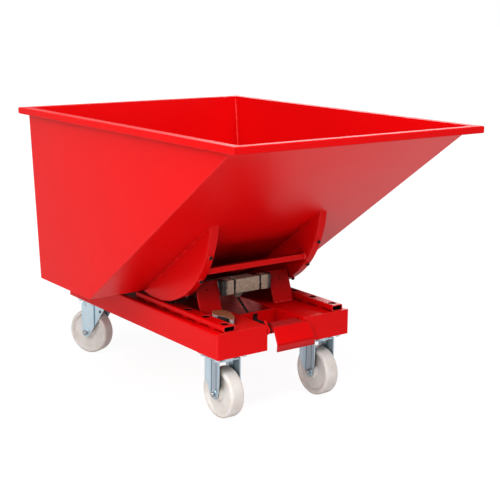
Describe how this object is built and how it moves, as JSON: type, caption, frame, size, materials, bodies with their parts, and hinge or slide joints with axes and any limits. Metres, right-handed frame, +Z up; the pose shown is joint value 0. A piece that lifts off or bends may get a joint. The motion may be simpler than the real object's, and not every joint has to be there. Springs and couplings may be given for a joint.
{
  "type": "tipping hopper",
  "caption": "Red sheet-steel tipping hopper with a sloping chute, curved pegged rockers on perforated tracks, push-plate release and a castor base with fork pockets.",
  "frame": {"origin": "middle of the ground rectangle under the whole object, on the floor", "axes": "+Z up, -Y towards the pouring lip, +X to the right as seen from the front"},
  "size_m": [0.914, 1.3392, 0.908],
  "materials": {
    "red_paint": "gloss powder coat",
    "zinc": "bluish zinc plate",
    "nylon": "smooth off-white nylon",
    "raw_steel": "raw mill steel, darkened by welding",
    "cut_steel": "flame-cut steel with light rust",
    "dark_steel": "dark oiled steel",
    "bare_steel": "turned steel"
  },
  "bodies": {
    "base": {"bin_rests": "red_paint", "castor_nuts": "zinc", "castor_studs": "zinc", "claw_plate": "cut_steel", "fixed_bracket_left": "zinc", "fixed_bracket_right": "zinc", "flap_lugs": "red_paint", "flap_pin": "dark_steel", "fork_channel_left": "red_paint", "fork_channel_right": "red_paint", "fork_floor_left": "red_paint", "fork_floor_right": "red_paint", "front_axle_bolts": "zinc", "front_axle_nuts": "zinc", "front_wall_left": "red_paint", "front_wall_right": "red_paint", "kingpins": "zinc", "latch_end_blocks": "raw_steel", "latch_pin": "dark_steel", "rear_plate": "red_paint", "swivel_head_left": "zinc", "swivel_head_right": "zinc", "track_left": "red_paint", "track_right": "red_paint", "upright_left": "red_paint", "upright_right": "red_paint", "well_floor": "red_paint", "well_plate": "red_paint"},
    "bin": {"back_panel": "red_paint", "chute_panel": "red_paint", "floor_panel": "red_paint", "latch_keeper": "red_paint", "rim_back": "red_paint", "rim_front": "red_paint", "rim_left": "red_paint", "rim_right": "red_paint", "rocker_cross_bar": "red_paint", "rocker_pegs": "dark_steel", "rocker_strip_left": "red_paint", "rocker_strip_right": "red_paint", "rocker_webs_left": "red_paint", "rocker_webs_right": "red_paint", "side_panel_left": "red_paint", "side_panel_right": "red_paint"},
    "release": {"release_flap": "red_paint", "flap_sleeve": "red_paint", "release_rod": "dark_steel"},
    "latch": {"latch_block": "raw_steel"},
    "swivel_left": {"swivel_fork_left": "zinc", "rear_axle_left": "zinc"},
    "front_wheel_left": {"front_wheel_left": "nylon", "front_bush_left": "bare_steel"},
    "rear_wheel_left": {"rear_wheel_left": "nylon", "rear_bush_left": "bare_steel"},
    "swivel_right": {"swivel_fork_right": "zinc", "rear_axle_right": "zinc"},
    "front_wheel_right": {"front_wheel_right": "nylon", "front_bush_right": "bare_steel"},
    "rear_wheel_right": {"rear_wheel_right": "nylon", "rear_bush_right": "bare_steel"}
  },
  "joints": [
    {"name": "bin_tip", "type": "hinge", "parent": "base", "child": "bin", "pos_m": [0, -0.09727, 0.35057], "axis": [1, 0, 0], "range_deg": [0, 68]},
    {"name": "flap_push", "type": "hinge", "parent": "base", "child": "release", "pos_m": [0, -0.29638, 0.272], "axis": [1, 0, 0], "range_deg": [0, 6]},
    {"name": "latch_turn", "type": "hinge", "parent": "base", "child": "latch", "pos_m": [0, -0.09438, 0.3675], "axis": [1, 0, 0], "range_deg": [0, 30]},
    {"name": "swivel_left", "type": "hinge", "parent": "base", "child": "swivel_left", "pos_m": [-0.188, 0.55962, 0.19], "axis": [0, 0, 1], "continuous": true},
    {"name": "front_wheel_left_spin", "type": "hinge", "parent": "base", "child": "front_wheel_left", "pos_m": [-0.188, -0.23938, 0.08], "axis": [1, 0, 0], "continuous": true},
    {"name": "rear_wheel_left_spin", "type": "hinge", "parent": "swivel_left", "child": "rear_wheel_left", "pos_m": [-0.20195, 0.58952, 0.08], "axis": [0.9063, 0.4226, 0], "continuous": true},
    {"name": "swivel_right", "type": "hinge", "parent": "base", "child": "swivel_right", "pos_m": [0.188, 0.55962, 0.19], "axis": [0, 0, 1], "continuous": true},
    {"name": "front_wheel_right_spin", "type": "hinge", "parent": "base", "child": "front_wheel_right", "pos_m": [0.188, -0.23938, 0.08], "axis": [1, 0, 0], "continuous": true},
    {"name": "rear_wheel_right_spin", "type": "hinge", "parent": "swivel_right", "child": "rear_wheel_right", "pos_m": [0.17405, 0.58952, 0.08], "axis": [0.9063, 0.4226, 0], "continuous": true}
  ],
  "couplings": [
    {"joint": "latch_turn", "follows": "flap_push", "ratio": 5}
  ]
}
